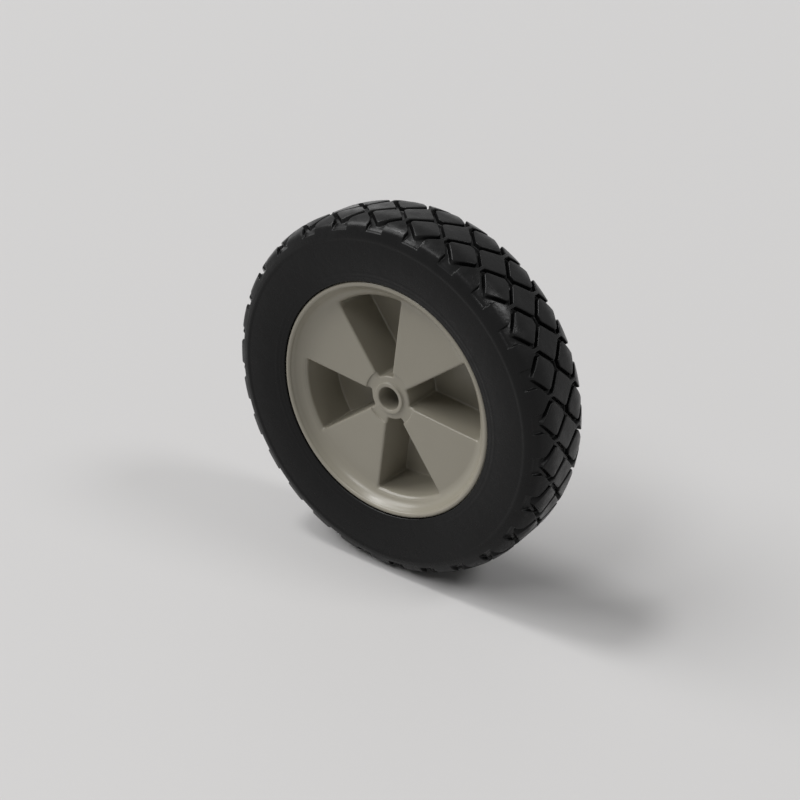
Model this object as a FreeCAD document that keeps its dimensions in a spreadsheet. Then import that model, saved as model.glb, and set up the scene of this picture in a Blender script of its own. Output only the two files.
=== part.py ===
import FreeCAD, Part
import math
import os
import Sketcher

# A plastic wheel with a solid rubber tyre, 8 in across and about 1.75 in wide.
# The origin is the wheel's centre, the axle runs along Y and the show side faces -Y.
# The wheel stands upright, with +Z up. All sizes are in millimetres and degrees.

SIZES = [
    ("tyre_radius", 101.6, "outside radius on the crown"),
    ("crown_half_width", 12.0, "half the width of the flat crown"),
    ("tread_edge_radius", 97.5, "radius of the tread edge"),
    ("tread_edge_y", 21.1, "mid-plane to the tread edge"),
    ("widest_radius", 92.6, "radius at which the tyre is widest"),
    ("tyre_half_width", 23.1, "half the width at the widest point of the sidewalls"),
    ("bead_width", 3.0, "rubber beside the lip, below the foot of the sidewall"),
    ("sidewall_foot_y", 19.9, "half width at the foot of the sidewall"),
    ("bead_face_y", 19.3, "half width of the rubber against the lip"),
    ("groove_depth", 2.6, "depth of the tread grooves in the middle of a loop"),
    ("groove_width", 2.3, "width of the tread grooves"),
    ("block_count", 27, "diamonds round each row of the tread"),
    ("loop_half_width", 9.7, "middle of a groove loop to its centreline, round the tyre"),
    ("loop_outer_tip", 19.5, "mid-plane to the outer tip of a loop's centreline"),
    ("loop_overlap", 0.6, "how far a loop's centreline would pass the mid-plane"),
    ("outer_leg_angle", 32, "slope of the outer legs from the direction of rolling"),
    ("inner_leg_angle", 45, "slope of the inner legs from the direction of rolling"),
    ("block_tip_y", 2.6, "mid-plane to the blunt inner tip of a side block"),
    ("tread_turn", 0.63, "turn of the tread from upright"),
    ("seat_clearance", 0.15, "gap between the rubber and the plastic"),
    ("channel_radius", 63.2, "radius of the channel in which the tyre sits"),
    ("lip_height", 3.65, "how far the lips stand above the channel"),
    ("lip_face_y", 18.86, "half width over the rim's lips"),
    ("lip_width", 3.2, "width of a lip seen from the side"),
    ("lip_chamfer", 0.9, "broken edges of a lip"),
    ("lip_thickness", 3.0, "thickness of a lip along the axle"),
    ("barrel_wall", 2.8, "thickness of the barrel under the channel"),
    ("dish_width", 8.15, "from the edge of the flat pads out to the front lip"),
    ("pad_face_y", 11.5, "mid-plane to the front face of the pads"),
    ("back_face_y", 16.3, "mid-plane to the back face of the web"),
    ("back_dish_width", 0.95, "from the edge of the flat back out to the back lip"),
    ("web_wall", 2.8, "thickness of the web"),
    ("pad_count", 4, "pads, and as many recesses between them"),
    ("recess_half_angle", 21.54, "half the angle of a front recess"),
    ("recess_turn", 13.93, "turn of the recesses from level"),
    ("hub_radius", 12.5, "outside radius of the hub tube"),
    ("bore_radius", 6.4, "bore for a half-inch axle, with running clearance"),
    ("bore_chamfer", 0.6, "chamfer at both mouths of the bore"),
    ("collar_radius", 9.4, "collar round the front mouth of the bore"),
    ("hub_front_y", 11.9, "mid-plane to the front mouth of the bore"),
    ("hub_length", 38.1, "length of the hub"),
    ("hub_ring_radius", 15.5, "outside radius of the shallow ring round the collar"),
    ("hub_ring_depth", 1.0, "depth of that ring under the pads"),
    ("hub_end_chamfer", 0.8, "chamfer at the back end of the hub"),
]

# Radii that follow from the channel
LIP_RADIUS = "(Sizes.channel_radius + Sizes.lip_height)"
LIP_INNER_RADIUS = "(%s - Sizes.lip_width)" % LIP_RADIUS
PAD_FLAT_RADIUS = "(%s - Sizes.dish_width)" % LIP_INNER_RADIUS
BACK_FLAT_RADIUS = "(%s - Sizes.back_dish_width)" % LIP_INNER_RADIUS
BARREL_INNER_RADIUS = "(Sizes.channel_radius - Sizes.barrel_wall)"
TYRE_LIP_RADIUS = "(%s + Sizes.seat_clearance)" % LIP_RADIUS
SIDEWALL_FOOT_RADIUS = "(%s + Sizes.bead_width)" % TYRE_LIP_RADIUS

# Equal chords that stand for each arc of a section
SIDEWALL_CHORDS = 4
DISH_CHORDS = 3

# What a cutting tool reaches past the surface it cuts, and how far down it starts
TOOL_OVERHANG = 3.0
TOOL_DEPTH = 14.0

document = FreeCAD.newDocument("wheel_assembly")


def make_sheet():
    """Put every driving size in a spreadsheet cell with an alias."""
    made = document.addObject("Spreadsheet::Sheet", "Sizes")
    for row, (alias, value, note) in enumerate(SIZES, start=1):
        made.set("A%d" % row, note)
        made.set("B%d" % row, str(value))
        made.setAlias("B%d" % row, alias)
    document.recompute()
    return made


sheet = make_sheet()


def number(expression):
    """The present value of an expression on the sheet."""
    return float(sheet.evalExpression(expression))


def origin_feature(body, role):
    """One of a body's own origin planes or axes."""
    return next(item for item in body.Origin.OriginFeatures if item.Role == role)


def new_body(label):
    body = document.addObject("PartDesign::Body", label)
    body.Label = label
    body.AllowCompound = True
    return body


def new_sketch(body, name, plane, offset="0"):
    """A sketch on a body's own origin plane, raised from it by an offset."""
    sketch = body.newObject("Sketcher::SketchObject", name)
    sketch.AttachmentSupport = [(origin_feature(body, plane), "")]
    sketch.MapMode = "FlatFace"
    sketch.setExpression("AttachmentOffset.Base.z", offset)
    return sketch


def fix_point(sketch, edge, end, x, y):
    """Hold a point at a place given by two expressions."""
    for kind, axis, expression in (("DistanceX", -2, x), ("DistanceY", -1, y)):
        value = number(expression)
        if value == 0:
            sketch.addConstraint(Sketcher.Constraint("PointOnObject", edge, end, axis))
            continue
        index = sketch.addConstraint(Sketcher.Constraint(kind, -1, 1, edge, end, value))
        sketch.setExpression("Constraints[%d]" % index, expression)


def arc_between(start, end, radius, turn):
    """An arc shorter than half a circle; turn is 1 anticlockwise and -1 clockwise."""
    chord = end - start
    left = FreeCAD.Vector(-chord.y, chord.x, 0).normalize()
    reach = math.sqrt(max(radius ** 2 - (chord.Length / 2) ** 2, 0))
    centre = (start + end) / 2 + left * (turn * reach)
    angles = [math.atan2(p.y - centre.y, p.x - centre.x) for p in (start, end)]
    if turn < 0:
        angles.reverse()
    circle = Part.Circle(centre, FreeCAD.Vector(0, 0, 1), radius)
    return Part.ArcOfCircle(circle, angles[0], angles[1])


def draw_outline(sketch, corners):
    """A closed outline. Each corner is (x, y) or (x, y, radius, turn) for an arc to the next."""
    places = [FreeCAD.Vector(number(c[0]), number(c[1]), 0) for c in corners]
    ends = []
    for index, corner in enumerate(corners):
        start, end = places[index], places[(index + 1) % len(corners)]
        if len(corner) == 2:
            edge = sketch.addGeometry(Part.LineSegment(start, end))
            ends.append((edge, 1, 2))
            continue
        radius, turn = corner[2], corner[3]
        edge = sketch.addGeometry(arc_between(start, end, number(radius), turn))
        ends.append((edge, 1, 2) if turn > 0 else (edge, 2, 1))
        size = sketch.addConstraint(Sketcher.Constraint("Radius", edge, number(radius)))
        sketch.setExpression("Constraints[%d]" % size, radius)
    for index, (edge, first, last) in enumerate(ends):
        following, entry, _ = ends[(index + 1) % len(ends)]
        sketch.addConstraint(Sketcher.Constraint("Coincident", edge, last, following, entry))
        fix_point(sketch, edge, first, corners[index][0], corners[index][1])


def revolve(body, kind, sketch, name):
    """A full turn of a sketch about the axle."""
    turned = body.newObject(kind, name)
    turned.Profile = sketch
    turned.ReferenceAxis = (sketch, ["V_Axis"])
    turned.Angle = 360
    return turned


def ring_of(body, name, originals, count):
    """Repeat features evenly round the axle."""
    ring = body.newObject("PartDesign::PolarPattern", name)
    ring.Originals = originals
    ring.Axis = (origin_feature(body, "Y_Axis"), [""])
    ring.Angle = 360
    ring.setExpression("Occurrences", count)
    body.Tip = ring
    return ring


def turn_about_axle(item, angle):
    """Turn a finished piece about the axle, from level towards upright."""
    item.Placement = FreeCAD.Placement(FreeCAD.Vector(), FreeCAD.Rotation(FreeCAD.Vector(0, -1, 0), 1))
    item.setExpression("Placement.Rotation.Angle", angle + " * 1 deg")


def arc_points(centre, radius, start, end, chords):
    """Points on an arc in equal steps; its angles run from the radius towards +Y."""
    points = []
    for step in range(chords + 1):
        angle = "(%s + (%s - %s) * %d / %d)" % (start, end, start, step, chords)
        r = "(%s + %s * cos(%s))" % (centre[0], radius, angle)
        y = "(%s + %s * sin(%s))" % (centre[1], radius, angle)
        points.append((r, y))
    return points


def sidewall():
    """From the widest point down to the foot beside the lip."""
    run = "(Sizes.widest_radius - %s)" % SIDEWALL_FOOT_RADIUS
    fall = "(Sizes.tyre_half_width - Sizes.sidewall_foot_y)"
    radius = "((%s ^ 2 + %s ^ 2) / (2 * %s))" % (run, fall, fall)
    centre = ("Sizes.widest_radius", "(Sizes.tyre_half_width - %s)" % radius)
    end = "(90 deg + asin(%s / %s))" % (run, radius)
    return arc_points(centre, radius, "90 deg", end, SIDEWALL_CHORDS)


def tyre_side():
    """Half of the tyre's section, from the crown over the back sidewall to the channel."""
    lip_inside = "(Sizes.lip_face_y - Sizes.lip_thickness - Sizes.seat_clearance)"
    tread = [
        ("Sizes.tyre_radius", "Sizes.crown_half_width"),
        ("Sizes.tread_edge_radius", "Sizes.tread_edge_y"),
    ]
    bead = [
        (TYRE_LIP_RADIUS, "Sizes.bead_face_y"),
        (TYRE_LIP_RADIUS, lip_inside),
        ("(Sizes.channel_radius + Sizes.seat_clearance)", lip_inside),
    ]
    return tread + sidewall() + bead


def both_sides(side):
    """A half outline and its mirror image in the mid-plane, as one closed outline."""
    return side + [(r, "-" + y) for r, y in reversed(side)]


def make_tyre_blank():
    """The tyre before its tread is cut."""
    body = new_body("tyre_blank")
    section = new_sketch(body, "tyre_section", "XY_Plane")
    draw_outline(section, both_sides(tyre_side()))
    revolve(body, "PartDesign::Revolution", section, "tyre_turned")
    return body


def loop_outline(side, grow):
    """One edge of a groove loop: grow is 1 for its outside and -1 for its inside."""
    half = "(%d * Sizes.groove_width / 2)" % grow
    neck_u = "(Sizes.loop_half_width + %s)" % half
    outer_tip = "(Sizes.loop_outer_tip + %s / cos(Sizes.outer_leg_angle))" % half
    inner_tip = "(-Sizes.loop_overlap - %s / cos(Sizes.inner_leg_angle))" % half
    outer_knee = "(%s - %s * tan(Sizes.outer_leg_angle))" % (outer_tip, neck_u)
    inner_knee = "(%s + %s * tan(Sizes.inner_leg_angle))" % (inner_tip, neck_u)
    corners = [(neck_u, outer_knee), (neck_u, inner_knee)]
    if grow < 0:
        blunt_u = "((Sizes.block_tip_y - %s) / tan(Sizes.inner_leg_angle))" % inner_tip
        corners.append((blunt_u, "Sizes.block_tip_y"))
    mirrored = [("-" + u, v) for u, v in reversed(corners)]
    inner_end = [("0", inner_tip)] if grow > 0 else []
    outline = [("0", outer_tip)] + corners + inner_end + mirrored
    return [(u, "%d * %s" % (side, v)) for u, v in outline]


def under_grooves():
    """What lies under the groove floors of one pitch, as y and height, along the axle."""
    depth = "Sizes.groove_depth"
    fall = "(Sizes.tyre_radius - Sizes.tread_edge_radius)"
    lean = "atan2(%s; Sizes.tread_edge_y - Sizes.crown_half_width)" % fall
    past = "(Sizes.tyre_half_width + %s)" % TOOL_OVERHANG
    bend_y = "(Sizes.crown_half_width - %s * tan(%s / 2))" % (depth, lean)
    floor = "(Sizes.tyre_radius - %s)" % depth
    end = "(%s - (%s - %s) * tan(%s))" % (floor, past, bend_y, lean)
    foot = "(Sizes.tyre_radius - %s - %s)" % (TOOL_DEPTH, TOOL_OVERHANG)
    half = [(bend_y, floor), (past, end), (past, foot)]
    return half + [("-" + y, z) for y, z in reversed(half)]


def make_tread_tool():
    """Everything that the tread's grooves take out of the tyre."""
    body = new_body("tread_tool")
    features = []
    for name, side in (("front_loop", -1), ("back_loop", 1)):
        sketch = new_sketch(body, name + "_sketch", "XY_Plane", "Sizes.tyre_radius - %s" % TOOL_DEPTH)
        draw_outline(sketch, loop_outline(side, 1))
        draw_outline(sketch, loop_outline(side, -1))
        loop = body.newObject("PartDesign::Pad", name)
        loop.Profile = sketch
        loop.Length = TOOL_DEPTH + TOOL_OVERHANG
        features.append(loop)
    sketch = new_sketch(body, "groove_floor_sketch", "YZ_Plane")
    draw_outline(sketch, under_grooves())
    floor = body.newObject("PartDesign::Pocket", "groove_floor")
    floor.Profile = sketch
    floor.Midplane = True
    floor.setExpression("Length", "2 * Sizes.loop_half_width + 2 * Sizes.groove_width")
    features.append(floor)
    ring_of(body, "tread_ring", features, "Sizes.block_count")
    return body


def make_tyre():
    """The moulded tyre with its tread."""
    blank = make_tyre_blank()
    tool = make_tread_tool()
    turn_about_axle(tool, "Sizes.tread_turn")
    tyre = document.addObject("Part::Cut", "tyre")
    tyre.Label = "tyre"
    tyre.Base = blank
    tyre.Tool = tool
    return tyre


def dish():
    """From the edge of a flat pad up to the top of the front lip, at y below zero."""
    run = "Sizes.dish_width"
    rise = "(Sizes.lip_face_y - Sizes.pad_face_y)"
    radius = "((%s ^ 2 + %s ^ 2) / (2 * %s))" % (run, rise, rise)
    centre = (PAD_FLAT_RADIUS, "(-Sizes.pad_face_y - %s)" % radius)
    end = "(90 deg - asin(%s / %s))" % (run, radius)
    return arc_points(centre, radius, "90 deg", end, DISH_CHORDS)


def rim_section():
    """The rim turned solid, before its recesses are cut."""
    lip_inside = "(Sizes.lip_face_y - Sizes.lip_thickness)"
    lip_shoulder = "(Sizes.lip_face_y - Sizes.lip_chamfer)"
    lip_outer = "(%s - Sizes.lip_chamfer)" % LIP_RADIUS
    ring_y = "-(Sizes.pad_face_y - Sizes.hub_ring_depth)"
    hub_back = "(Sizes.hub_length - Sizes.hub_front_y)"
    mouth = "(Sizes.bore_radius + Sizes.bore_chamfer)"
    hub_front = [
        ("Sizes.bore_radius", "-(Sizes.hub_front_y - Sizes.bore_chamfer)"),
        (mouth, "-Sizes.hub_front_y"),
        ("Sizes.collar_radius", "-Sizes.hub_front_y"),
        ("Sizes.collar_radius", ring_y),
        ("Sizes.hub_ring_radius", ring_y),
        ("Sizes.hub_ring_radius", "-Sizes.pad_face_y"),
    ]
    lips = [
        (lip_outer, "-Sizes.lip_face_y"),
        (LIP_RADIUS, "-" + lip_shoulder),
        (LIP_RADIUS, "-" + lip_inside),
        ("Sizes.channel_radius", "-" + lip_inside),
        ("Sizes.channel_radius", lip_inside),
        (LIP_RADIUS, lip_inside),
        (LIP_RADIUS, "Sizes.lip_face_y"),
        (LIP_INNER_RADIUS, "Sizes.lip_face_y"),
    ]
    back = [
        (BACK_FLAT_RADIUS, "Sizes.back_face_y"),
        ("Sizes.hub_radius", "Sizes.back_face_y"),
        ("Sizes.hub_radius", hub_back + " - Sizes.hub_end_chamfer"),
        ("Sizes.hub_radius - Sizes.hub_end_chamfer", hub_back),
        (mouth, hub_back),
        ("Sizes.bore_radius", hub_back + " - Sizes.bore_chamfer"),
    ]
    return hub_front + dish() + lips + back


def wedge(half_angle, inset, direction):
    """A recess between the hub and the barrel, its sides set in from two radii."""
    corners = []
    for radius, sides in (("Sizes.hub_radius", (1, -1)), (BARREL_INNER_RADIUS, (-1, 1))):
        along = "sqrt((%s) ^ 2 - (%s) ^ 2)" % (radius, inset)
        u = "(%s * cos(%s) + (%s) * sin(%s))" % (along, half_angle, inset, half_angle)
        v = "(%s * sin(%s) - (%s) * cos(%s))" % (along, half_angle, inset, half_angle)
        ends = []
        for side in sides:
            x = "%s * cos(%s) - %d * %s * sin(%s)" % (u, direction, side, v, direction)
            y = "%s * sin(%s) + %d * %s * cos(%s)" % (u, direction, side, v, direction)
            ends.append((x, y))
        turn = sides[1]
        corners += [ends[0] + (radius, turn), ends[1]]
    return corners


def cut_recesses(body, name, outline, start, depth, backward):
    """Cut one recess along the axle and repeat it round the hub."""
    sketch = new_sketch(body, name + "_sketch", "XZ_Plane", start)
    draw_outline(sketch, outline)
    pocket = body.newObject("PartDesign::Pocket", name)
    pocket.Profile = sketch
    pocket.Reversed = backward
    pocket.setExpression("Length", depth)
    ring_of(body, name + "_ring", [pocket], "Sizes.pad_count")


def make_rim():
    """The moulded rim: lips, barrel, corrugated web and hub in one piece."""
    body = new_body("wheel_rim")
    section = new_sketch(body, "rim_section", "XY_Plane")
    draw_outline(section, rim_section())
    revolve(body, "PartDesign::Revolution", section, "rim_turned")
    front = wedge("Sizes.recess_half_angle", "0", "0")
    front_floor = "(Sizes.back_face_y - Sizes.web_wall)"
    cut_recesses(body, "front_recess", front, "Sizes.lip_face_y",
                 "Sizes.lip_face_y + " + front_floor, False)
    pad_half_angle = "(180 / Sizes.pad_count - Sizes.recess_half_angle)"
    back = wedge(pad_half_angle, "Sizes.web_wall", "180 / Sizes.pad_count")
    cut_recesses(body, "back_recess", back, "-Sizes.lip_face_y",
                 "Sizes.lip_face_y + Sizes.pad_face_y - Sizes.web_wall", True)
    turn_about_axle(body, "Sizes.recess_turn")
    return body


def check(items):
    """Stop if any object failed, or a piece is empty or unsound."""
    for item in document.Objects:
        if "Invalid" in item.State or "Error" in item.State:
            raise RuntimeError("%s failed: %s" % (item.Name, item.State))
    for item in items:
        if item.Shape.isNull() or not item.Shape.isValid():
            raise RuntimeError("%s has no sound shape" % item.Label)
        print(item.Label, len(item.Shape.Solids), "solid, volume", round(item.Shape.Volume))


def export(items):
    """Write one file for each piece."""
    os.makedirs("parts", exist_ok=True)
    for item in items:
        item.Shape.exportStep("parts/%s.step" % item.Label)


pieces = [make_tyre(), make_rim()]
document.recompute()
check(pieces)
export(pieces)
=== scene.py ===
import math

import bmesh
import bpy
import numpy as np
from mathutils import Matrix, Vector
from mathutils.geometry import delaunay_2d_cdt


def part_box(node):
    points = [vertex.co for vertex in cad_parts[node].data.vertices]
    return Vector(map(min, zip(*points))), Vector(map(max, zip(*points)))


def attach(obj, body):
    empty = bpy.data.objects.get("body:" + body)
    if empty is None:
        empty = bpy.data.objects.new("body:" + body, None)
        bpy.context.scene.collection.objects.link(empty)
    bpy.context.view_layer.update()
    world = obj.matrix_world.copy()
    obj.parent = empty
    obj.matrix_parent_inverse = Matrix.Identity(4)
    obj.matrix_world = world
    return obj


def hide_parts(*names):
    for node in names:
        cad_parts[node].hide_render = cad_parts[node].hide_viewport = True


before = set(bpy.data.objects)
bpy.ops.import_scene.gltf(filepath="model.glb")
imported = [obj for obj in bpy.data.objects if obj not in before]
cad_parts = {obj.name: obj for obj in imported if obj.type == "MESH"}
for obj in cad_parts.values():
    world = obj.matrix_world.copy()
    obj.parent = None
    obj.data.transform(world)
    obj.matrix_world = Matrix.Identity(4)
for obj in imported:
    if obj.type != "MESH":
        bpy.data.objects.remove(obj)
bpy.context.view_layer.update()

# Sizes are in millimetres and radians. The wheel's axle is Y and its show side faces -Y.
MM = 0.001

_, tyre_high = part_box("tyre")
rim_low, rim_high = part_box("wheel_rim")
TYRE_RADIUS = tyre_high[2] / MM
TYRE_HALF_WIDTH = tyre_high[1] / MM
LIP_RADIUS = rim_high[0] / MM
LIP_FACE_Y = -rim_low[1] / MM
HUB_BACK_Y = rim_high[1] / MM

# Tyre section. A place in it is a radius and a y.
CROWN_HALF_WIDTH = 9.0
TREAD_EDGE = (97.5, 21.1)
WIDEST_RADIUS = 92.6
SIDEWALL_FOOT = (70.0, 19.9)
SIDEWALL_ROUND = ((69.3, 19.85), (68.9, 19.55))

# The bead's round, as steps out from the lip's edge and past the bead's y
BEAD_Y = 19.3
BEAD_ROUND = ((0.7, 0.1), (0.2, -0.1), (0, -0.6))
SEAT_CLEARANCE = 0.15
LIP_THICKNESS = 3.0
CHANNEL_RADIUS = 63.2
EDGE_LEAN = math.radians(68)

# The tread's edge is softened over this run on each side, by a sag towards the rubber
EDGE_SOFTNESS = 1.6
EDGE_SAG = 0.22
SAG_RADIUS_SHARE = 0.6
SAG_Y_SHARE = 0.8

# Low rings on the sidewall
RIB_HEIGHT = 0.25
RIB_RADIUS = 91.0
RIB_WIDTH = 3.6
INNER_RIB_HEIGHT = 0.08
INNER_RIB_RADIUS = 71.8
INNER_RIB_WIDTH = 2.4

# Tread
BLOCK_COUNT = 27
TREAD_TURN = math.radians(0.63)
GROOVE_WIDTH = 2.3
GROOVE_DEPTH = 2.6
LOOP_HALF_WIDTH = 9.7
LOOP_OUTER_TIP = 20.2
LOOP_OVERLAP = 0.6
OUTER_LEG = math.radians(40)
INNER_LEG = math.radians(45)
LOOP_OUTSIDE_CORNER = 1.2
LOOP_INSIDE_CORNER = 1.3
LOOP_BLEND = 2.0
BLOCK_TIP_Y = 2.6

# Where a loop opens over the tread's edge
MOUTH_HALF_WIDTH = 5.2
MOUTH_INNER_Y = 16.0
MOUTH_DEPTH = 2.2
MOUTH_LEAN = math.radians(30)
MOUTH_CORNER = 0.5
MOUTH_BLEND = 1.0
MOUTH_END_GAP = 0.7

# Rim. A face's y is its distance from the wheel's middle plane, to either side.
PAD_COUNT = 4
RECESS_TURN = math.radians(13.93)
RECESS_HALF_ANGLE = math.radians(21.54)
PAD_FACE_Y = 11.5
BACK_FACE_Y = 16.3
WEB_WALL = 2.8
PAD_FLAT_RADIUS = 55.5
RECESS_OUTER_RADIUS = 57.2
BACK_FLAT_RADIUS = 62.7
LIP_WIDTH = 3.2
BACK_LIP_ROUND = 0.8
HUB_RADIUS = 12.5
HUB_BACK_ROUND = 0.8
HUB_FOOT = 0.15
BORE_RADIUS = 6.4
BORE_CHAMFER = 0.6
COLLAR_RADIUS = 9.0
HUB_FRONT_Y = 11.9
HUB_RING_RADIUS = 15.5
HUB_RING_Y = PAD_FACE_Y - 1.0

# A recess's rounded edge, its wall and its rounded foot. The outer wall's edge is broader.
EDGE_RADIUS = 1.2
OUTER_EDGE_DEPTH = 2.4
OUTER_EDGE_START = RECESS_OUTER_RADIUS - 3.0
OUTER_EDGE_END = RECESS_OUTER_RADIUS + 1.0
OUTER_SLOPE = 0.5
WALL_DRAFT = 0.3
FOOT_RADIUS = 0.9
RECESS_CORNER = 1.5

# How fine the meshes are. A relief's line is found in cells, thinned out to a tolerance and
# cut in steps.
SEGMENTS = 216
HALVINGS = 30
CORNER_POINTS = 81
SIDEWALL_POINTS = 76
LIP_STEPS = 12
BACK_LIP_STEPS = 4
FRONT_MARGIN = 0.3
BACK_MARGIN = 1.6
MEET_TOLERANCE = 1e-5
BORDER_TOLERANCE = 1e-4
MERGE_DISTANCE = 2e-6
TREAD_CELL, TREAD_TOLERANCE, TREAD_STEP = 0.15, 0.012, 2.6
RIM_CELL, RIM_TOLERANCE, RIM_STEP = 0.25, 0.01, 6.0
TREAD_FLAT_FROM = 1.4
RIM_FLAT_FROM = 2.0
RIM_SPACING = 4.0


# Outlines in a flat domain

def inset_corners(corners, inset):
    """A convex outline, anticlockwise, with each side moved inwards."""
    corners = np.array(corners, float)
    sides = np.roll(corners, -1, axis=0) - corners
    outward = np.stack([sides[:, 1], -sides[:, 0]], axis=1)
    outward /= np.linalg.norm(outward, axis=1)[:, None]
    reach = (outward * corners).sum(axis=1) - inset
    moved = []
    for index in range(len(corners)):
        pair = [index - 1, index]
        moved.append(np.linalg.solve(outward[pair], reach[pair]))
    return np.array(moved)


def rounded_outline(corners, radius):
    """The signed distance to a convex outline with rounded corners, negative inside."""
    core = inset_corners(corners, radius)
    sides = np.roll(core, -1, axis=0) - core
    lengths = np.linalg.norm(sides, axis=1)
    along = sides / lengths[:, None]
    outward = np.stack([along[:, 1], -along[:, 0]], axis=1)

    def distance(u, v):
        point = np.stack([u, v], axis=-1)
        nearest = np.full(u.shape, np.inf)
        deepest = np.full(u.shape, -np.inf)
        for corner, direction, normal, length in zip(core, along, outward, lengths):
            offset = point - corner
            run = np.clip(offset @ direction, 0, length)
            nearest = np.minimum(nearest, np.linalg.norm(offset - run[..., None] * direction, axis=-1))
            deepest = np.maximum(deepest, offset @ normal)
        return np.where(deepest > 0, nearest, deepest) - radius

    return distance


def soft_least(first, second, reach):
    """The lesser of two fields, blended where they are within reach of each other."""
    blend = np.clip(0.5 + 0.5 * (second - first) / reach, 0, 1)
    return second * (1 - blend) + first * blend - reach * blend * (1 - blend)


def soft_greatest(first, second, reach):
    """The greater of two fields, blended where they are within reach of each other."""
    return -soft_least(-first, -second, reach)


def contour_lines(field, level, a_values, b_values):
    """The lines in a grid's area along which a field has one value."""
    grid_a, grid_b = np.meshgrid(a_values, b_values, indexing="ij")
    above = field(grid_a, grid_b) > level
    columns = len(b_values)
    crossing = {}
    links = []
    mixed = above[:-1, :-1].astype(int) + above[1:, :-1] + above[:-1, 1:] + above[1:, 1:]
    for i, j in np.argwhere((mixed > 0) & (mixed < 4)):
        low, right = i * columns + j, (i + 1) * columns + j
        for triangle in ((low, right, right + 1), (low, right + 1, low + 1)):
            cut = []
            for start, end in zip(triangle, triangle[1:] + triangle[:1]):
                if above.flat[start] != above.flat[end]:
                    key = (min(start, end), max(start, end))
                    cut.append(crossing.setdefault(key, len(crossing)))
            if cut:
                links.append(cut)
    if not links:
        return []
    keys = np.array(list(crossing))
    ends = [np.stack([grid_a.flat[keys[:, n]], grid_b.flat[keys[:, n]]], axis=1) for n in (0, 1)]
    start_above = above.flat[keys[:, 0]]
    for _ in range(HALVINGS):
        middle = (ends[0] + ends[1]) / 2
        same = (field(middle[:, 0], middle[:, 1]) > level) == start_above
        ends[0] = np.where(same[:, None], middle, ends[0])
        ends[1] = np.where(same[:, None], ends[1], middle)
    places = (ends[0] + ends[1]) / 2
    return [places[chain] for chain in chains_of(links)]


def chains_of(links):
    """Links joined end to end. A closed chain repeats its first number."""
    neighbours = {}
    for first, second in links:
        neighbours.setdefault(first, []).append(second)
        neighbours.setdefault(second, []).append(first)
    unused = set(neighbours)
    chains = []
    for start in sorted(neighbours, key=lambda n: (len(neighbours[n]), n)):
        if start not in unused:
            continue
        chain = [start]
        unused.discard(start)
        while True:
            onward = [n for n in neighbours[chain[-1]] if n in unused]
            if not onward:
                break
            chain.append(onward[0])
            unused.discard(onward[0])
        if len(chain) > 2 and start in neighbours[chain[-1]]:
            chain.append(start)
        chains.append(chain)
    return chains


def thin_out(points, tolerance):
    """Fewer points on a line, none of those left out further from it than the tolerance."""
    keep = np.zeros(len(points), bool)
    keep[[0, -1]] = True
    spans = [(0, len(points) - 1)]
    if np.allclose(points[0], points[-1]):
        half = len(points) // 2
        keep[half] = True
        spans = [(0, half), (half, len(points) - 1)]
    while spans:
        first, last = spans.pop()
        if last - first < 2:
            continue
        chord = points[last] - points[first]
        chord = chord / max(np.linalg.norm(chord), 1e-9)
        offsets = points[first + 1:last] - points[first]
        away = np.abs(offsets[:, 0] * chord[1] - offsets[:, 1] * chord[0])
        worst = int(away.argmax())
        if away[worst] > tolerance:
            middle = first + 1 + worst
            keep[middle] = True
            spans += [(first, middle), (middle, last)]
    return points[keep]


def divide(points, longest):
    """Extra points where a line's steps are long."""
    made = [points[0]]
    for start, end in zip(points, points[1:]):
        steps = max(1, math.ceil(np.linalg.norm(end - start) / longest))
        made += [start + (end - start) * step / steps for step in range(1, steps + 1)]
    return np.array(made)


class Relief:
    """A rectangle of surface, meshed so that its edges follow the lines of a field."""

    def __init__(self, width, heights, edge_steps):
        self.width = width
        self.low, self.high = heights
        self.points, self.edges = [], []
        across = [width * step / edge_steps for step in range(edge_steps + 1)]
        for b in heights:
            self.add_line([(a, b) for a in across])
        for a in (0, width):
            self.add_line([(a, b) for b in heights])

    def add_line(self, points):
        """Add points joined by edges that the mesh has to keep."""
        first = len(self.points)
        self.points += [(float(a), float(b)) for a, b in points]
        self.edges += [(first + n, first + n + 1) for n in range(len(points) - 1)]

    def follow(self, field, levels, cell, tolerance, longest):
        """Add the field's lines at each level."""
        a_values = np.linspace(0, self.width, math.ceil(self.width / cell) + 1)
        b_values = np.linspace(self.low, self.high, math.ceil((self.high - self.low) / cell) + 1)
        for level in levels:
            for line in contour_lines(field, level, a_values, b_values):
                self.add_line(divide(thin_out(line, tolerance), longest))

    def add_level(self, b, steps):
        """Add a straight line across at one height."""
        self.add_line([(self.width * step / steps, b) for step in range(steps + 1)])

    def fill(self, spacing, wanted):
        """Add loose points on a grid where a test allows them."""
        a_count = math.ceil(self.width / spacing)
        b_count = math.ceil((self.high - self.low) / spacing)
        a_values = np.linspace(0, self.width, a_count + 1)
        b_values = np.linspace(self.low, self.high, b_count + 1)[1:-1]
        grid_a, grid_b = np.meshgrid(a_values, b_values, indexing="ij")
        chosen = wanted(grid_a, grid_b)
        self.points += list(zip(grid_a[chosen].tolist(), grid_b[chosen].tolist()))

    def mesh(self):
        """Its points and triangles, without any that lie flat along its border."""
        places = [Vector(p) for p in self.points]
        found = delaunay_2d_cdt(places, self.edges, [], 0, MEET_TOLERANCE)
        points, faces = np.array([tuple(p) for p in found[0]]), np.array([tuple(f) for f in found[2]])
        corners = points[faces]
        flat = np.zeros(len(faces), bool)
        for column, limits in ((0, (0, self.width)), (1, (self.low, self.high))):
            for limit in limits:
                flat |= (np.abs(corners[:, :, column] - limit) < BORDER_TOLERANCE).all(axis=1)
        return points, faces[~flat]


# Meshes

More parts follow.
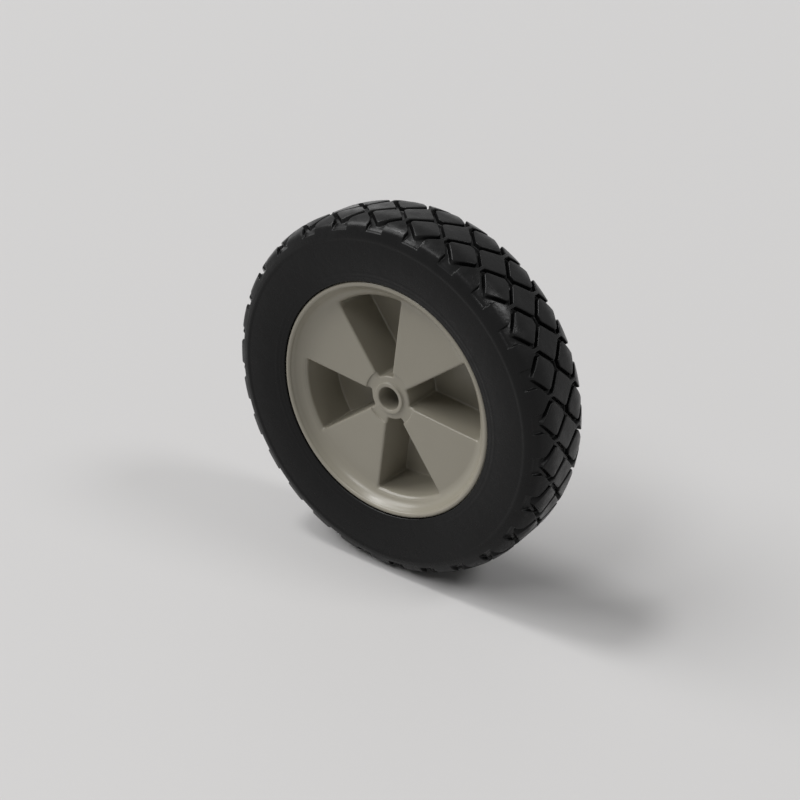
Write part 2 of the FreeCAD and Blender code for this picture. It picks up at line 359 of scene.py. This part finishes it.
class Surface:
    """Points and triangles gathered for one piece."""

    def __init__(self):
        self.points, self.faces, self.count = [], [], 0

    def add(self, points, faces, flip=False):
        """Add points, and triangles that are numbered from the first of them."""
        faces = np.asarray(faces)[:, ::-1] if flip else np.asarray(faces)
        self.faces.append(faces + self.count)
        self.points.append(points)
        self.count += len(points)

    def add_turned(self, profile, angles):
        """A surface of revolution about the axle. The profile has radius and y."""
        profile = np.array(profile, float)
        rows, turns = len(profile), len(angles)
        radius = np.repeat(profile[:, 0], turns)
        y = np.repeat(profile[:, 1], turns)
        angle = np.tile(angles, rows)
        points = np.stack([radius * np.cos(angle), y, radius * np.sin(angle)], axis=1)
        faces = []
        for row in range(rows - 1):
            near = row * turns + np.arange(turns)
            side = row * turns + (np.arange(turns) + 1) % turns
            faces.append(np.stack([near, side, side + turns], axis=1))
            faces.append(np.stack([near, side + turns, near + turns], axis=1))
        self.add(points, np.concatenate(faces))

    def piece(self, name, material):
        """One closed object of all of it, with points that fall together made one."""
        data = bpy.data.meshes.new(name)
        places = np.concatenate(self.points) * MM
        data.from_pydata(places.tolist(), [], np.concatenate(self.faces).tolist())
        shape = bmesh.new()
        shape.from_mesh(data)
        bmesh.ops.remove_doubles(shape, verts=shape.verts, dist=MERGE_DISTANCE)
        bmesh.ops.dissolve_degenerate(shape, edges=shape.edges, dist=MERGE_DISTANCE)
        bmesh.ops.recalc_face_normals(shape, faces=shape.faces)
        shape.to_mesh(data)
        shape.free()
        smooth_by_area(data)
        data.materials.append(material)
        made = bpy.data.objects.new(name, data)
        bpy.context.scene.collection.objects.link(made)
        return made


def smooth_by_area(data):
    """Smooth shading whose normals follow the larger faces, so flats stay flat."""
    data.polygons.foreach_set("use_smooth", [True] * len(data.polygons))
    normals = np.zeros((len(data.vertices), 3))
    for face in data.polygons:
        normals[list(face.vertices)] += np.array(face.normal) * face.area
    normals /= np.maximum(np.linalg.norm(normals, axis=1), 1e-20)[:, None]
    data.normals_split_custom_set_from_vertices(normals.tolist())


def ring_angles(start):
    """Evenly spaced directions round the axle."""
    return start + np.arange(SEGMENTS) * (2 * math.pi / SEGMENTS)


def arc(centre, radius, start, end, steps):
    """Points on an arc of a section. Angles in degrees run from the radius towards +Y."""
    made = []
    for step in range(steps + 1):
        angle = math.radians(start + (end - start) * step / steps)
        made.append((centre[0] + radius * math.cos(angle), centre[1] + radius * math.sin(angle)))
    return made


# Tyre

SHOULDER_RUN = TREAD_EDGE[1] - CROWN_HALF_WIDTH
SHOULDER_FALL = TYRE_RADIUS - TREAD_EDGE[0]
SHOULDER_RADIUS = (SHOULDER_RUN ** 2 + SHOULDER_FALL ** 2) / (2 * SHOULDER_FALL)
TREAD_PITCH = 2 * math.pi * TYRE_RADIUS / BLOCK_COUNT

# The distance from a groove's edge and the share of its depth there: a rounded edge, a wall
# and a rounded foot
GROOVE_LEVELS = (-0.65, -0.35, -0.15, 0.0, 0.18, 0.5)
GROOVE_SHARES = (1.0, 0.95, 0.8, 0.2, 0.05, 0.0)


def corner_curve():
    """From the tread edge down to the widest point, as points with their lengths along it."""
    reach = (TYRE_HALF_WIDTH - RIB_HEIGHT - TREAD_EDGE[1]) / math.cos(EDGE_LEAN)
    bend = (TREAD_EDGE[0] - reach * math.sin(EDGE_LEAN), TYRE_HALF_WIDTH - RIB_HEIGHT)
    widest = (WIDEST_RADIUS, TYRE_HALF_WIDTH - RIB_HEIGHT)
    t = np.linspace(0, 1, CORNER_POINTS)[:, None]
    points = (1 - t) ** 2 * np.array(TREAD_EDGE) + 2 * t * (1 - t) * np.array(bend)
    points = points + t * t * np.array(widest)
    lengths = np.concatenate([[0], np.cumsum(np.linalg.norm(np.diff(points, axis=0), axis=1))])
    return points, lengths


CORNER, CORNER_LENGTHS = corner_curve()
CORNER_RUN = 4.0
TREAD_END = TREAD_EDGE[1] + CORNER_RUN

# Lines along the tread's edge, as runs past it
EDGE_LINES = (-EDGE_SOFTNESS, -1.0, -0.5, 0, 0.5, 1.0, EDGE_SOFTNESS, 2.3, 3.1)


def on_corner(run):
    """Radius and y of the corner at a run past the tread's edge."""
    return np.interp(run, CORNER_LENGTHS, CORNER[:, 0]), np.interp(run, CORNER_LENGTHS, CORNER[:, 1])


def plain_surface(b):
    """Radius and y of the tread and of the corner beyond its edge, with the edge sharp."""
    run = np.clip(b - CROWN_HALF_WIDTH, 0, SHOULDER_RUN)
    crown = TYRE_RADIUS - SHOULDER_RADIUS + np.sqrt(SHOULDER_RADIUS ** 2 - run ** 2)
    past = b - TREAD_EDGE[1]
    corner_radius, corner_y = on_corner(past)
    return np.where(past > 0, corner_radius, crown), np.where(past > 0, corner_y, b)


def tread_surface(b):
    """The same surface with the edge softened."""
    radius, y = plain_surface(b)
    sag = EDGE_SAG * np.clip(1 - np.abs(b - TREAD_EDGE[1]) / EDGE_SOFTNESS, 0, 1) ** 2
    return radius - SAG_RADIUS_SHARE * sag, y - SAG_Y_SHARE * sag


def groove_floor(b):
    """Depth of the grooves' floors, which run out on the corner."""
    radius, y = plain_surface(b)
    mouth = TREAD_EDGE[0] - MOUTH_DEPTH - (y - TREAD_EDGE[1]) * math.tan(MOUTH_LEAN)
    inner = radius - np.interp(b, (MOUTH_INNER_Y, TREAD_EDGE[1]), (GROOVE_DEPTH, MOUTH_DEPTH))
    floor = np.where(b > TREAD_EDGE[1], mouth, inner)
    return np.clip(tread_surface(b)[0] - floor, 0, None)


def loop_corners(grow):
    """Corners of a groove loop's outside (grow 1) or inside (grow -1), anticlockwise."""
    half = grow * GROOVE_WIDTH / 2
    side = LOOP_HALF_WIDTH + half
    tip = LOOP_OUTER_TIP + half / math.cos(OUTER_LEG)
    foot = -LOOP_OVERLAP - half / math.cos(INNER_LEG)
    outer_knee = tip - side * math.tan(OUTER_LEG)
    inner_knee = foot + side * math.tan(INNER_LEG)
    right = [(side, inner_knee), (side, outer_knee)]
    left = [(-side, outer_knee), (-side, inner_knee)]
    if grow > 0:
        return [(0, foot)] + right + [(0, tip)] + left
    blunt = (BLOCK_TIP_Y - foot) / math.tan(INNER_LEG)
    return [(-blunt, BLOCK_TIP_Y), (blunt, BLOCK_TIP_Y)] + right + [(0, tip)] + left


def tread_field():
    """Distance from the grooves' edges, negative in the grooves."""
    outside = rounded_outline(loop_corners(1), LOOP_OUTSIDE_CORNER)
    inside = rounded_outline(loop_corners(-1), LOOP_INSIDE_CORNER)
    end = TREAD_END - MOUTH_END_GAP
    corners = [(-MOUTH_HALF_WIDTH, MOUTH_INNER_Y), (MOUTH_HALF_WIDTH, MOUTH_INNER_Y),
               (MOUTH_HALF_WIDTH, end), (-MOUTH_HALF_WIDTH, end)]
    mouth = rounded_outline(corners, MOUTH_CORNER)

    def field(u, v):
        front = soft_least(outside(u, v), mouth(u, v), MOUTH_BLEND)
        grooves = soft_least(front, outside(u, -v), LOOP_BLEND)
        return np.maximum(grooves, np.maximum(-inside(u, v), -inside(u, -v)))

    return field


def add_tread(surface):
    """The whole tread band and its corners, from one quarter of a pitch."""
    field = tread_field()
    steps = SEGMENTS // BLOCK_COUNT // 2
    relief = Relief(TREAD_PITCH / 2, (0, TREAD_END), steps)
    relief.follow(field, GROOVE_LEVELS, TREAD_CELL, TREAD_TOLERANCE, TREAD_STEP)
    for past in EDGE_LINES:
        relief.add_level(TREAD_EDGE[1] + past, 2 * steps)
    relief.fill(TREAD_STEP, lambda u, v: field(u, v) > TREAD_FLAT_FROM)
    flat, faces = relief.mesh()
    share = np.interp(field(flat[:, 0], flat[:, 1]), GROOVE_LEVELS, GROOVE_SHARES)
    radius, away = tread_surface(flat[:, 1])
    radius = radius - share * groove_floor(flat[:, 1])
    turn = flat[:, 0] / TYRE_RADIUS
    for block in range(BLOCK_COUNT):
        middle = math.pi / 2 + TREAD_TURN + block * 2 * math.pi / BLOCK_COUNT
        for across in (1, -1):
            angle = middle + across * turn
            for side in (1, -1):
                points = np.stack([radius * np.cos(angle), side * away, radius * np.sin(angle)], axis=1)
                surface.add(points, faces, flip=across * side < 0)


def rib(radius, middle, width):
    """Share of a low round rib's height at a radius."""
    return np.clip(1 - ((radius - middle) / (width / 2)) ** 2, 0, 1) ** 2


def sidewall_section():
    """From the end of the tread's relief down the sidewall to the channel, at y above 0."""
    start = TREAD_END - TREAD_EDGE[1]
    radii, ys = on_corner(np.linspace(start, CORNER_LENGTHS[-1], 4))
    corner = list(zip(radii.tolist(), ys.tolist()))
    low = TYRE_HALF_WIDTH - RIB_HEIGHT
    run, fall = WIDEST_RADIUS - SIDEWALL_FOOT[0], low - SIDEWALL_FOOT[1]
    bulge = (run ** 2 + fall ** 2) / (2 * fall)
    wall = []
    for radius in np.linspace(WIDEST_RADIUS, SIDEWALL_FOOT[0], SIDEWALL_POINTS)[1:]:
        y = low - bulge + math.sqrt(bulge ** 2 - (WIDEST_RADIUS - radius) ** 2)
        outer_rib = RIB_HEIGHT * rib(radius, RIB_RADIUS, RIB_WIDTH)
        inner_rib = INNER_RIB_HEIGHT * rib(radius, INNER_RIB_RADIUS, INNER_RIB_WIDTH)
        wall.append((radius, y + outer_rib + inner_rib))
    lip_edge = LIP_RADIUS + SEAT_CLEARANCE
    inside_y = LIP_FACE_Y - LIP_THICKNESS - SEAT_CLEARANCE
    bead = [(lip_edge + out, BEAD_Y + past) for out, past in BEAD_ROUND]
    channel = [(lip_edge, inside_y), (CHANNEL_RADIUS + SEAT_CLEARANCE, inside_y)]
    return corner + wall + list(SIDEWALL_ROUND) + bead + channel


def make_tyre(material):
    """The tyre's skin: the tread, both sidewalls and what lies in the channel."""
    surface = Surface()
    add_tread(surface)
    half = sidewall_section()
    angles = ring_angles(math.pi / 2 + TREAD_TURN)
    section = half + [(radius, -y) for radius, y in reversed(half)]
    surface.add_turned(section, angles)
    return surface.piece("tyre_skin", material)


# Rim

# Radius and y where the hub's front changes slope: the collar's edge, the ring and the pads
HUB_FRONT_STEPS = (
    (COLLAR_RADIUS - 0.6, HUB_FRONT_Y),
    (COLLAR_RADIUS - 0.3, HUB_FRONT_Y - 0.1),
    (COLLAR_RADIUS, HUB_FRONT_Y - 0.5),
    (COLLAR_RADIUS + 0.1, HUB_RING_Y),
    (HUB_RING_RADIUS - 0.1, HUB_RING_Y),
    (HUB_RING_RADIUS, PAD_FACE_Y - 0.3),
    (HUB_RING_RADIUS + 0.3, PAD_FACE_Y),
)
POCKET_FLOOR_Y = -(PAD_FACE_Y - WEB_WALL)
HUB_BACK_STEPS = (
    (HUB_RADIUS - HUB_BACK_ROUND, HUB_BACK_Y),
    (HUB_RADIUS, HUB_BACK_Y - HUB_BACK_ROUND),
    (HUB_RADIUS + HUB_FOOT, POCKET_FLOOR_Y),
)


def wedge_field(half_angle, inset, inner, outer_slope):
    """Distance to a recess's sides in the plane of the rim, negative inside the recess.

    With a slope below 1 the outer side's edge, wall and foot are broader."""
    def field(x, z):
        radius = np.hypot(x, z)
        flank = -(x * math.sin(half_angle) - np.abs(z) * math.cos(half_angle)) + inset
        outside = (radius - RECESS_OUTER_RADIUS) * outer_slope
        sides = soft_greatest(flank, outside, RECESS_CORNER)
        return soft_greatest(sides, inner - radius, RECESS_CORNER)

    return field


def front_base(radius):
    """Depth of the front face behind y = 0, before the recesses: collar, ring, pads and dish."""
    dish_run = LIP_RADIUS - LIP_WIDTH - PAD_FLAT_RADIUS
    dish_rise = LIP_FACE_Y - PAD_FACE_Y
    dish_radius = (dish_run ** 2 + dish_rise ** 2) / (2 * dish_rise)
    run = np.clip(radius - PAD_FLAT_RADIUS, 0, dish_radius)
    dish = PAD_FACE_Y + dish_radius - np.sqrt(dish_radius ** 2 - run ** 2)
    return np.where(radius < PAD_FLAT_RADIUS, np.interp(radius, *zip(*HUB_FRONT_STEPS)), dish)


def wall_depth(distance, floor_depth, edge_depth):
    """Depth beside a recess's edge: a rounded edge, a drafted wall and a rounded foot."""
    edge = np.clip(distance / EDGE_RADIUS, 0, 1)
    top = edge_depth * (1 - np.sqrt(1 - (1 - edge) ** 2))
    share = np.clip(-distance / WALL_DRAFT, 0, 1)
    wall = edge_depth + share * (floor_depth - edge_depth - FOOT_RADIUS)
    past = np.clip(-distance - WALL_DRAFT, 0, FOOT_RADIUS)
    foot = floor_depth - FOOT_RADIUS + np.sqrt(FOOT_RADIUS ** 2 - (FOOT_RADIUS - past) ** 2)
    depth = np.where(distance > -WALL_DRAFT, wall, foot)
    return np.where(distance > 0, top, depth)


# Distances from a recess's sides along which its mesh has lines
RECESS_LEVELS = [EDGE_RADIUS, EDGE_RADIUS * 0.5, EDGE_RADIUS * 0.15, 0,
                 -WALL_DRAFT, -WALL_DRAFT - FOOT_RADIUS * 0.3, -WALL_DRAFT - FOOT_RADIUS]

# Half the turn from one recess to the next, and the radius at which it is laid out flat
SECTOR = math.pi / PAD_COUNT
DOMAIN_SCALE = 40.0
BORE_MOUTH = BORE_RADIUS + BORE_CHAMFER


def add_face(surface, field, height, outer, rings, start, flip):
    """One side of the rim, from an eighth of it that starts at a recess's middle."""
    def flat_field(a, radius):
        angle = a / DOMAIN_SCALE
        return field(radius * np.cos(angle), radius * np.sin(angle))

    steps = SEGMENTS // (2 * PAD_COUNT)
    relief = Relief(SECTOR * DOMAIN_SCALE, (BORE_MOUTH, outer), steps)
    relief.follow(flat_field, RECESS_LEVELS, RIM_CELL, RIM_TOLERANCE, RIM_STEP)
    for radius in rings:
        relief.add_level(radius, steps)
    relief.fill(RIM_SPACING, lambda a, radius: np.abs(flat_field(a, radius)) > RIM_FLAT_FROM)
    flat, faces = relief.mesh()
    radius = flat[:, 1]
    turn = flat[:, 0] / DOMAIN_SCALE
    y = height(radius, flat_field(flat[:, 0], radius))
    for count in range(PAD_COUNT):
        middle = start + count * 2 * math.pi / PAD_COUNT
        for across in (1, -1):
            angle = middle + across * turn
            points = np.stack([radius * np.cos(angle), y, radius * np.sin(angle)], axis=1)
            surface.add(points, faces, flip=(across < 0) != flip)


def front_height(radius, distance):
    """y of the front face, from the radius and the distance to a recess's sides."""
    base = front_base(radius)
    floor = BACK_FACE_Y - WEB_WALL
    near = (OUTER_EDGE_START, OUTER_EDGE_END)
    edge_depth = np.interp(radius, near, (EDGE_RADIUS, OUTER_EDGE_DEPTH))
    return wall_depth(distance, base + floor, edge_depth) - base


def back_height(radius, distance):
    """y of the back face, from the radius and the distance to a pocket's sides."""
    pocket = BACK_FACE_Y - wall_depth(distance, BACK_FACE_Y - POCKET_FLOOR_Y, EDGE_RADIUS)
    return np.maximum(np.interp(radius, *zip(*HUB_BACK_STEPS)), pocket)


def rim_section(front_outer, back_outer):
    """From the dish over the front lip and the channel to the back lip and the back face."""
    bead = LIP_WIDTH / 2
    bead_centre = LIP_RADIUS - bead
    steps = np.linspace(front_outer, LIP_RADIUS - LIP_WIDTH, 8)
    dish = [(radius, -float(front_base(np.array([radius]))[0])) for radius in steps]
    dish = [place for place in dish if place[1] > -(LIP_FACE_Y - bead)]
    front = arc((bead_centre, -(LIP_FACE_Y - bead)), bead, 180, 360, LIP_STEPS)
    inside_y = LIP_FACE_Y - LIP_THICKNESS
    channel = [(LIP_RADIUS, -inside_y), (CHANNEL_RADIUS, -inside_y), (CHANNEL_RADIUS, inside_y),
               (LIP_RADIUS, inside_y)]
    back_y = LIP_FACE_Y - BACK_LIP_ROUND
    inner_centre = (LIP_RADIUS - LIP_WIDTH + BACK_LIP_ROUND, back_y)
    back = arc((LIP_RADIUS - BACK_LIP_ROUND, back_y), BACK_LIP_ROUND, 0, 90, BACK_LIP_STEPS)
    back += arc(inner_centre, BACK_LIP_ROUND, 90, 160, BACK_LIP_STEPS)
    back += [(BACK_FLAT_RADIUS, BACK_FACE_Y), (back_outer, BACK_FACE_Y)]
    return dish + front + channel + back


def make_rim(material):
    """The rim's skin: both faces, the lips, the channel and the bore."""
    surface = Surface()
    front_outer = RECESS_OUTER_RADIUS + EDGE_RADIUS / OUTER_SLOPE + FRONT_MARGIN
    back_outer = RECESS_OUTER_RADIUS + BACK_MARGIN
    recess = wedge_field(RECESS_HALF_ANGLE, 0, HUB_RADIUS, OUTER_SLOPE)
    pocket = wedge_field(SECTOR - RECESS_HALF_ANGLE, WEB_WALL, HUB_RADIUS + HUB_FOOT, 1.0)
    front_rings = [radius for radius, _ in HUB_FRONT_STEPS]
    front_rings += list(np.linspace(PAD_FLAT_RADIUS, front_outer, 7)[:-1])
    back_rings = [radius for radius, _ in HUB_BACK_STEPS]
    add_face(surface, recess, front_height, front_outer, front_rings, RECESS_TURN, True)
    add_face(surface, pocket, back_height, back_outer, back_rings, RECESS_TURN + SECTOR, False)
    angles = ring_angles(RECESS_TURN)
    surface.add_turned(rim_section(front_outer, back_outer), angles)
    bore = [(BORE_MOUTH, HUB_BACK_Y), (BORE_RADIUS, HUB_BACK_Y - BORE_CHAMFER),
            (BORE_RADIUS, -HUB_FRONT_Y + BORE_CHAMFER), (BORE_MOUTH, -HUB_FRONT_Y)]
    surface.add_turned(bore, angles)
    return surface.piece("rim_skin", material)


# Materials

def new_material(name):
    """A material with its nodes and links."""
    made = bpy.data.materials.new(name)
    made.use_nodes = True
    return made, made.node_tree.nodes, made.node_tree.links


def noise(nodes, links, scale, detail):
    """Noise fixed to the object."""
    place = nodes.new("ShaderNodeTexCoord")
    made = nodes.new("ShaderNodeTexNoise")
    made.inputs["Scale"].default_value = scale
    made.inputs["Detail"].default_value = detail
    links.new(place.outputs["Object"], made.inputs["Vector"])
    return made.outputs["Fac"]


def colour_range(nodes, links, source, low, high, start, end):
    """A colour that goes from low to high while the source goes from start to end."""
    ramp = nodes.new("ShaderNodeValToRGB")
    ramp.color_ramp.elements[0].position = start
    ramp.color_ramp.elements[1].position = end
    ramp.color_ramp.elements[0].color = (*low, 1)
    ramp.color_ramp.elements[1].color = (*high, 1)
    links.new(source, ramp.inputs["Fac"])
    return ramp.outputs["Color"]


def value_range(nodes, links, source, low, high, start, end):
    """A number that goes from low to high while the source goes from start to end."""
    made = nodes.new("ShaderNodeMapRange")
    made.inputs["To Min"].default_value = low
    made.inputs["To Max"].default_value = high
    made.inputs["From Min"].default_value = start
    made.inputs["From Max"].default_value = end
    links.new(source, made.inputs["Value"])
    return made.outputs["Result"]


def bump(nodes, links, source, height, below=None):
    """Shading for a fine grain whose height is in metres, on top of another bump if there is one."""
    made = nodes.new("ShaderNodeBump")
    made.inputs["Distance"].default_value = height
    made.inputs["Strength"].default_value = 1.0
    links.new(source, made.inputs["Height"])
    if below is not None:
        links.new(below, made.inputs["Normal"])
    return made.outputs["Normal"]


def rubber():
    """Black rubber, unevenly glossy, with a fine grain."""
    made, nodes, links = new_material("tyre_rubber")
    shader = nodes["Principled BSDF"]
    shader.inputs["Specular IOR Level"].default_value = 0.19
    broad = noise(nodes, links, scale=28, detail=3)
    mottled = noise(nodes, links, scale=160, detail=4)
    fine = noise(nodes, links, scale=900, detail=5)
    colour = colour_range(nodes, links, broad, low=(0.003, 0.003, 0.0031), high=(0.005, 0.005, 0.0051),
                          start=0.2, end=0.8)
    roughness = value_range(nodes, links, mottled, low=0.2, high=0.42, start=0.3, end=0.7)
    uneven = bump(nodes, links, mottled, height=0.0002)
    grain = bump(nodes, links, fine, height=0.00006, below=uneven)
    links.new(colour, shader.inputs["Base Color"])
    links.new(roughness, shader.inputs["Roughness"])
    links.new(grain, shader.inputs["Normal"])
    return made


def rim_plastic():
    """Taupe plastic with a soft gloss."""
    made, nodes, links = new_material("rim_plastic")
    shader = nodes["Principled BSDF"]
    broad = noise(nodes, links, scale=18, detail=3)
    fine = noise(nodes, links, scale=1400, detail=4)
    colour = colour_range(nodes, links, broad, low=(0.268, 0.249, 0.2), high=(0.3, 0.278, 0.226),
                          start=0.2, end=0.8)
    roughness = value_range(nodes, links, broad, low=0.26, high=0.32, start=0.15, end=0.85)
    links.new(colour, shader.inputs["Base Color"])
    links.new(roughness, shader.inputs["Roughness"])
    links.new(bump(nodes, links, fine, height=0.00002), shader.inputs["Normal"])
    return made


def floor_paper():
    """Pale paper."""
    made, nodes, _ = new_material("floor_paper")
    shader = nodes["Principled BSDF"]
    shader.inputs["Base Color"].default_value = (0.55, 0.543, 0.54, 1)
    shader.inputs["Roughness"].default_value = 0.55
    return made


# Staging. The floor's size and the view's far end are in metres.
FLOOR_SIZE = 6.0
VIEW_END = 50


def add_floor():
    """The floor that the tread stands on."""
    bpy.ops.mesh.primitive_plane_add(size=FLOOR_SIZE, location=(0, 0, -TYRE_RADIUS * MM))
    floor = bpy.context.active_object
    floor.name = "floor"
    floor.data.materials.append(floor_paper())


# The photograph's viewpoint, found from the outlines of the tyre and the rim. The sensor is 36 mm
# wide. The camera stands off the line through the wheel's centre by a side step and a rise.
AZIMUTH = math.radians(36.70)
ELEVATION = math.radians(26.65)
DISTANCE = 642.8
FOCAL_PIXELS = 1194.8
PICTURE_PIXELS = 800
SENSOR = 36.0
SIDE_STEP = -0.94
RISE = -4.87


def add_camera():
    """The camera at the photograph's viewpoint."""
    back = Vector((math.sin(AZIMUTH) * math.cos(ELEVATION), -math.cos(AZIMUTH) * math.cos(ELEVATION),
                   math.sin(ELEVATION)))
    right = Vector((math.cos(AZIMUTH), math.sin(AZIMUTH), 0))
    up = back.cross(right)
    data = bpy.data.cameras.new("camera")
    data.sensor_width = SENSOR
    data.lens = FOCAL_PIXELS / PICTURE_PIXELS * SENSOR
    data.clip_end = VIEW_END
    camera = bpy.data.objects.new("camera", data)
    place = (back * DISTANCE + right * SIDE_STEP + up * RISE) * MM
    camera.matrix_world = Matrix((
        (right.x, up.x, back.x, place.x),
        (right.y, up.y, back.y, place.y),
        (right.z, up.z, back.z, place.z),
        (0, 0, 0, 1),
    ))
    bpy.context.scene.collection.objects.link(camera)
    bpy.context.scene.camera = camera


# Each light's name, the place that it comes from, its strength and its spread in degrees
LIGHTS = (
    ("light_main", (-0.6, -0.28, 0.75), 1.85, 40),
    ("light_top", (-0.38, -0.08, 0.92), 0.8, 10),
    ("light_front", (-0.12, -0.62, 0.78), 0.55, 18),
    ("light_right", (0.62, 0.18, 0.74), 0.65, 16),
)


def add_sun(name, place, strength, spread):
    """A broad soft light from the direction of a place, as even over the floor as over the object."""
    data = bpy.data.lights.new(name, "SUN")
    data.energy = strength
    data.angle = math.radians(spread)
    lamp = bpy.data.objects.new(name, data)
    lamp.rotation_euler = (-Vector(place)).to_track_quat("-Z", "Y").to_euler()
    bpy.context.scene.collection.objects.link(lamp)


# Strength with which the world lights the object, and how pale it shows behind it
WORLD_LIGHT = 0.18
WORLD_SHOWN = 0.6


def add_world():
    """A plain world that shows paler to the camera and in reflections than it lights."""
    world = bpy.data.worlds.new("studio")
    bpy.context.scene.world = world
    world.use_nodes = True
    nodes, links = world.node_tree.nodes, world.node_tree.links
    background = nodes["Background"]
    background.inputs["Color"].default_value = (1, 1, 1, 1)
    ray = nodes.new("ShaderNodeLightPath")
    shown = ray.outputs["Is Camera Ray"]
    for kind in ("Is Glossy Ray", "Is Transmission Ray"):
        either = nodes.new("ShaderNodeMath")
        either.operation = "MAXIMUM"
        links.new(shown, either.inputs[0])
        links.new(ray.outputs[kind], either.inputs[1])
        shown = either.outputs["Value"]
    strength = nodes.new("ShaderNodeMapRange")
    strength.inputs["To Min"].default_value = WORLD_LIGHT
    strength.inputs["To Max"].default_value = WORLD_SHOWN
    links.new(shown, strength.inputs["Value"])
    links.new(strength.outputs["Result"], background.inputs["Strength"])


bpy.context.scene.view_settings.view_transform = "Standard"

rubber_material = rubber()
plastic_material = rim_plastic()
for node, material, slot, maker in (("tyre", rubber_material, "tyre", make_tyre),
                                    ("wheel_rim", plastic_material, "rim", make_rim)):
    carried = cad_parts[node]
    carried.data.materials.clear()
    carried.data.materials.append(material)
    skin = maker(material)
    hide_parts(node)
    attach(skin, "root")

add_floor()
add_camera()
for light in LIGHTS:
    add_sun(*light)
add_world()
